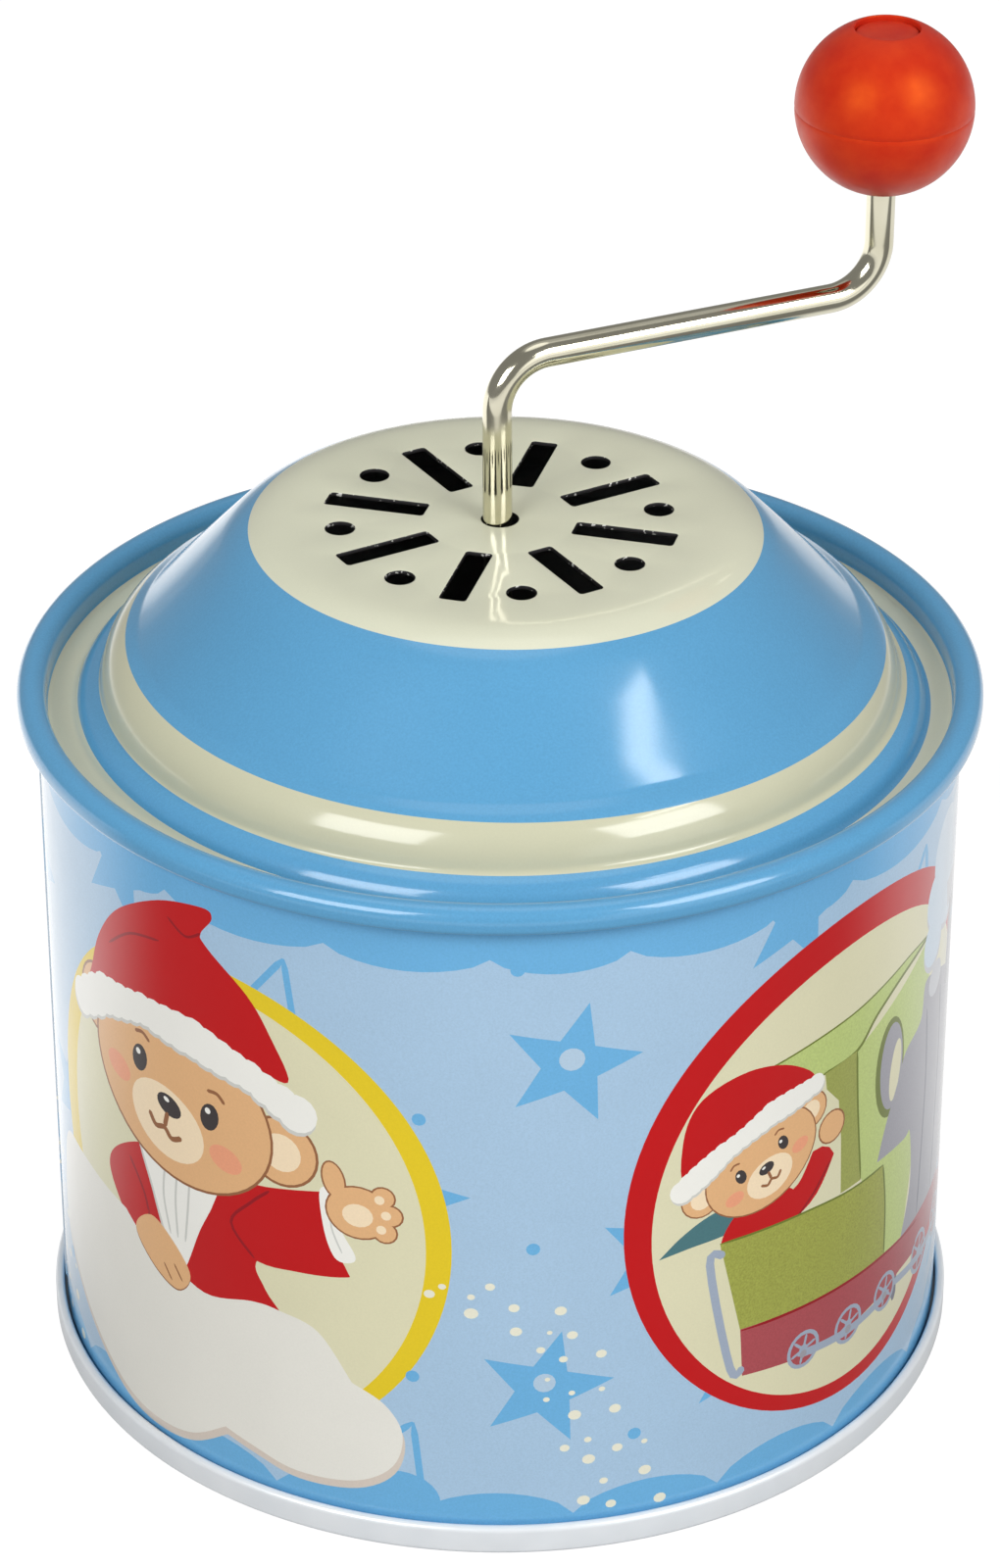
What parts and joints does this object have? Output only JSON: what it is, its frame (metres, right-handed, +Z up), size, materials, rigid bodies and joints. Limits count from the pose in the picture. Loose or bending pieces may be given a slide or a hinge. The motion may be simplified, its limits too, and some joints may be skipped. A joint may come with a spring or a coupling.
{
  "type": "hand-cranked tin music box",
  "caption": "Round tinplate can with a stepped, perforated metal lid, a bent wire crank with a ball knob, and a comb-and-drum movement inside.",
  "frame": {"origin": "on the crank's upright axis, at the underside of the base ring", "axes": "+Z up along the crank shaft, -Y towards the front of the printed can, +X to its right"},
  "size_m": [0.1, 0.1, 0.1408],
  "materials": {
    "body_tin": "glossy litho-printed tinplate, light sky blue with printed motifs",
    "lid_tin": "glossy litho-printed tinplate, mid blue with cream rings",
    "base_tin": "pale clear-lacquered tinplate seam",
    "plated_steel": "bright nickel plate",
    "spring_steel": "ground spring steel",
    "brass": "turned brass",
    "cast_zinc": "as-cast zinc alloy",
    "red_plastic": "smooth moulded red plastic",
    "acetal": "natural acetal"
  },
  "bodies": {
    "case": {"body_shell": "body_tin", "top_lid": "lid_tin", "bottom_plate": "base_tin", "gear_bearing": "plated_steel", "end_bearing": "plated_steel", "spindle_bracket": "plated_steel", "comb_screw_1": "plated_steel", "comb_screw_2": "plated_steel", "bracket_screw_1": "plated_steel", "bracket_screw_2": "plated_steel", "gear_bearing_screw": "plated_steel", "end_bearing_screw": "plated_steel", "mount_screw_1": "plated_steel", "mount_screw_2": "plated_steel", "mount_screw_3": "plated_steel", "mount_washer_1": "plated_steel", "mount_washer_2": "plated_steel", "mount_washer_3": "plated_steel", "comb": "spring_steel", "bedplate": "cast_zinc", "comb_base": "cast_zinc", "thrust_button": "acetal"},
    "crank": {"crank_rod": "plated_steel", "worm": "brass", "knob_retainer": "plated_steel", "knob_stop": "plated_steel"},
    "knob": {"crank_knob": "red_plastic", "knob_cap": "red_plastic"},
    "drum": {"drum": "brass", "drum_gear": "brass", "drum_end_cap": "brass", "drum_arbor": "plated_steel"}
  },
  "joints": [
    {"name": "crank_turn", "type": "hinge", "parent": "case", "child": "crank", "pos_m": [0, 0, 0], "axis": [0, 0, 1], "continuous": true},
    {"name": "knob_spin", "type": "hinge", "parent": "crank", "child": "knob", "pos_m": [0.03892, 0.01733, 0.1324], "axis": [0, 0, 1], "continuous": true},
    {"name": "drum_turn", "type": "hinge", "parent": "case", "child": "drum", "pos_m": [0, 0.0109, 0.0185], "axis": [1, 0, 0], "continuous": true}
  ],
  "couplings": [
    {"joint": "drum_turn", "follows": "crank_turn", "ratio": 0.05}
  ]
}
